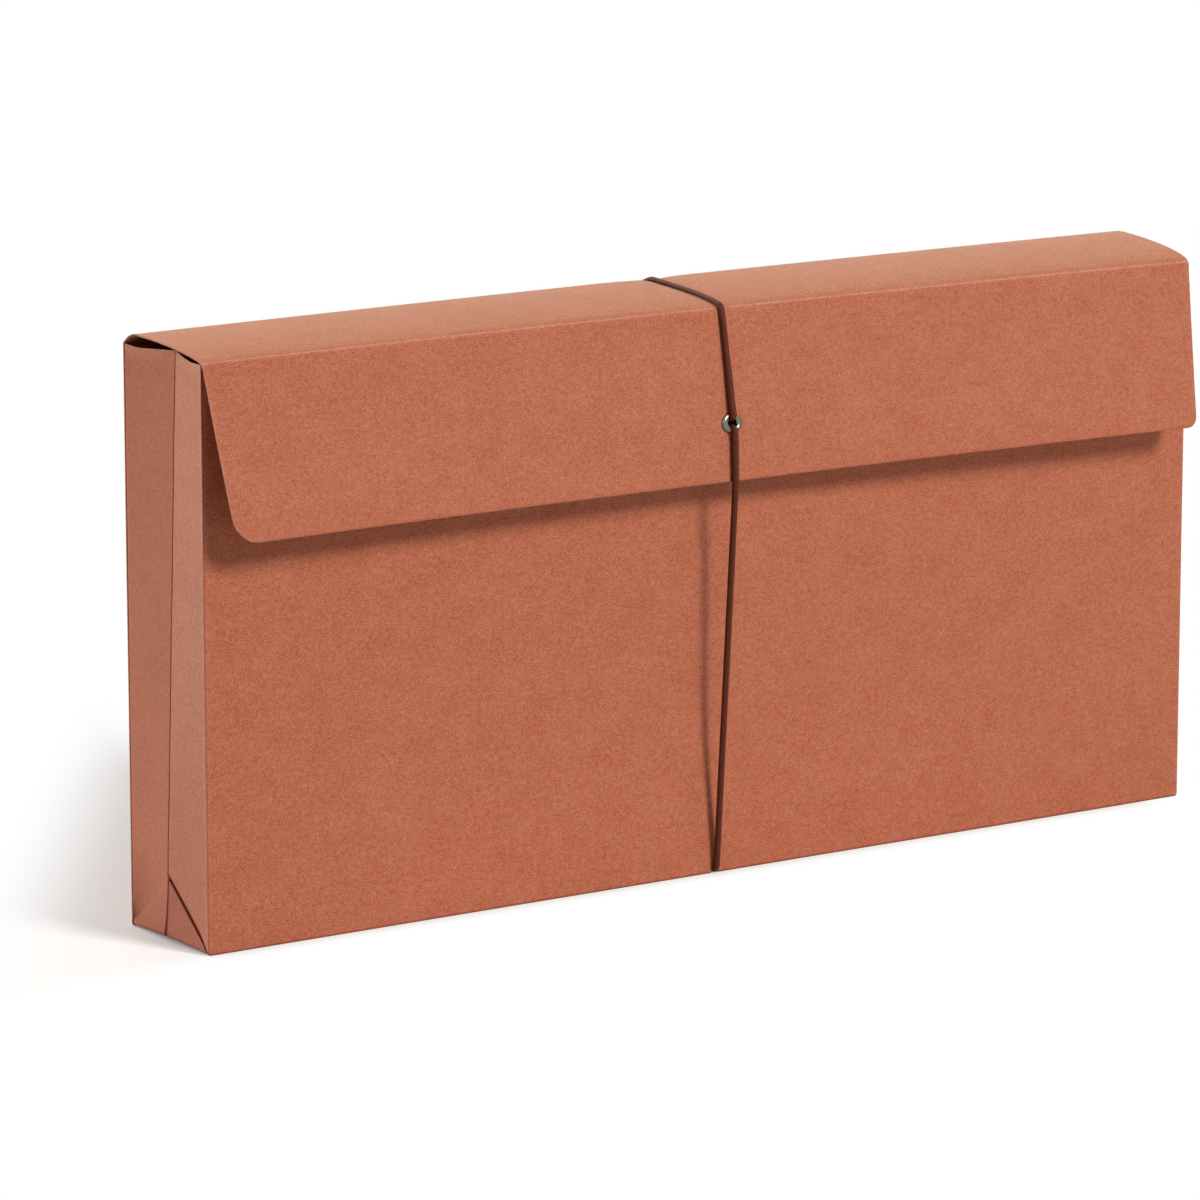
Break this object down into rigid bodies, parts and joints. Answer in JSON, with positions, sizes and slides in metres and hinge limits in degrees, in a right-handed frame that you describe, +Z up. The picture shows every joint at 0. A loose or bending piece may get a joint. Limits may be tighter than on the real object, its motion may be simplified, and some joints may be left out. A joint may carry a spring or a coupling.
{
  "type": "file wallet",
  "caption": "Expanding file wallet of fibre board with pleated end and bottom gussets, a flap over the top, and an elastic cord knotted in an eyelet to hold it shut.",
  "frame": {"origin": "on the ground, under the middle of the whole object", "axes": "+X along the wallet, +Y from the flap's front to the back panel, +Z up"},
  "size_m": [0.4612, 0.0768, 0.2267],
  "materials": {
    "board": "matte terracotta fibre board",
    "gusset": "matte terracotta gusset paper",
    "elastic": "woven elastic cord",
    "nickel": "nickel plated"
  },
  "bodies": {
    "back": {"back_panel": "board", "left_rear_tab": "gusset", "right_rear_tab": "gusset", "bottom_rear_tab": "gusset"},
    "left_gusset_rear": {"left_gusset_rear": "gusset"},
    "left_gusset_front": {"left_gusset_front": "gusset"},
    "front": {"front_panel": "board", "left_front_tab": "gusset", "right_front_tab": "gusset", "bottom_front_tab": "gusset"},
    "right_gusset_rear": {"right_gusset_rear": "gusset"},
    "right_gusset_front": {"right_gusset_front": "gusset"},
    "bottom_gusset_rear": {"bottom_gusset_rear": "gusset"},
    "bottom_gusset_front": {"bottom_gusset_front": "gusset"},
    "left_rear_tuck": {"left_rear_tuck": "gusset"},
    "left_front_tuck": {"left_front_tuck": "gusset"},
    "right_rear_tuck": {"right_rear_tuck": "gusset"},
    "right_front_tuck": {"right_front_tuck": "gusset"},
    "spine": {"flap_spine": "board"},
    "flap": {"flap_front": "board", "eyelet": "nickel", "elastic_cord": "elastic", "cord_knot": "elastic"}
  },
  "joints": [
    {"name": "gusset_fold", "type": "hinge", "parent": "left_gusset_front", "child": "front", "pos_m": [-0.2271, -0.01772, 0.109], "axis": [0, 0, 1], "range_deg": [0, 68], "deforming": ["left_rear_tuck", "left_front_tuck", "right_rear_tuck", "right_front_tuck"]},
    {"name": "left_rear_fold", "type": "hinge", "parent": "back", "child": "left_gusset_rear", "pos_m": [-0.2271, 0.03368, 0.109], "axis": [0, 0, 1], "range_deg": [0, 68]},
    {"name": "left_pleat", "type": "hinge", "parent": "left_gusset_rear", "child": "left_gusset_front", "pos_m": [-0.2248, 0.00798, 0.109], "axis": [0, 0, -1], "range_deg": [0, 136]},
    {"name": "right_rear_fold", "type": "hinge", "parent": "back", "child": "right_gusset_rear", "pos_m": [0.2271, 0.03368, 0.109], "axis": [0, 0, -1], "range_deg": [0, 68]},
    {"name": "right_pleat", "type": "hinge", "parent": "right_gusset_rear", "child": "right_gusset_front", "pos_m": [0.2248, 0.00798, 0.109], "axis": [0, 0, 1], "range_deg": [0, 136]},
    {"name": "bottom_rear_fold", "type": "hinge", "parent": "back", "child": "bottom_gusset_rear", "pos_m": [0, 0.03368, 0.0036], "axis": [-1, 0, 0], "range_deg": [0, 68]},
    {"name": "bottom_pleat", "type": "hinge", "parent": "bottom_gusset_rear", "child": "bottom_gusset_front", "pos_m": [0, 0.00798, 0.0059], "axis": [1, 0, 0], "range_deg": [0, 136]},
    {"name": "left_rear_mitre", "type": "hinge", "parent": "left_gusset_rear", "child": "left_rear_tuck", "pos_m": [-0.2275, 0.03364, 0.0054], "axis": [-0.0739, 0.7032, -0.7071], "range_deg": [0, 141]},
    {"name": "left_front_mitre", "type": "hinge", "parent": "left_gusset_front", "child": "left_front_tuck", "pos_m": [-0.2275, -0.01767, 0.0054], "axis": [0.0739, 0.7032, 0.7071], "range_deg": [0, 141]},
    {"name": "right_rear_mitre", "type": "hinge", "parent": "right_gusset_rear", "child": "right_rear_tuck", "pos_m": [0.2275, 0.03364, 0.0054], "axis": [-0.0739, -0.7032, 0.7071], "range_deg": [0, 141]},
    {"name": "right_front_mitre", "type": "hinge", "parent": "right_gusset_front", "child": "right_front_tuck", "pos_m": [0.2275, -0.01767, 0.0054], "axis": [0.0739, -0.7032, -0.7071], "range_deg": [0, 141]},
    {"name": "flap_open", "type": "hinge", "parent": "back", "child": "spine", "pos_m": [0, 0.03548, 0.219], "axis": [-1, 0, 0], "range_deg": [0, 190], "deforming": ["elastic_cord"]},
    {"name": "flap_crease", "type": "hinge", "parent": "spine", "child": "flap", "pos_m": [0, -0.02064, 0.219], "axis": [-1, 0, 0], "range_deg": [0, 77]}
  ],
  "couplings": [
    {"joint": "left_rear_fold", "follows": "gusset_fold", "ratio": 1},
    {"joint": "left_pleat", "follows": "gusset_fold", "ratio": 2},
    {"joint": "right_rear_fold", "follows": "gusset_fold", "ratio": 1},
    {"joint": "right_pleat", "follows": "gusset_fold", "ratio": 2},
    {"joint": "bottom_rear_fold", "follows": "gusset_fold", "ratio": 1},
    {"joint": "bottom_pleat", "follows": "gusset_fold", "ratio": 2},
    {"joint": "left_rear_mitre", "follows": "gusset_fold", "ratio": 2.0612},
    {"joint": "left_front_mitre", "follows": "gusset_fold", "ratio": 2.0612},
    {"joint": "right_rear_mitre", "follows": "gusset_fold", "ratio": 2.0612},
    {"joint": "right_front_mitre", "follows": "gusset_fold", "ratio": 2.0612},
    {"joint": "flap_crease", "follows": "flap_open", "ratio": 0.4052}
  ]
}
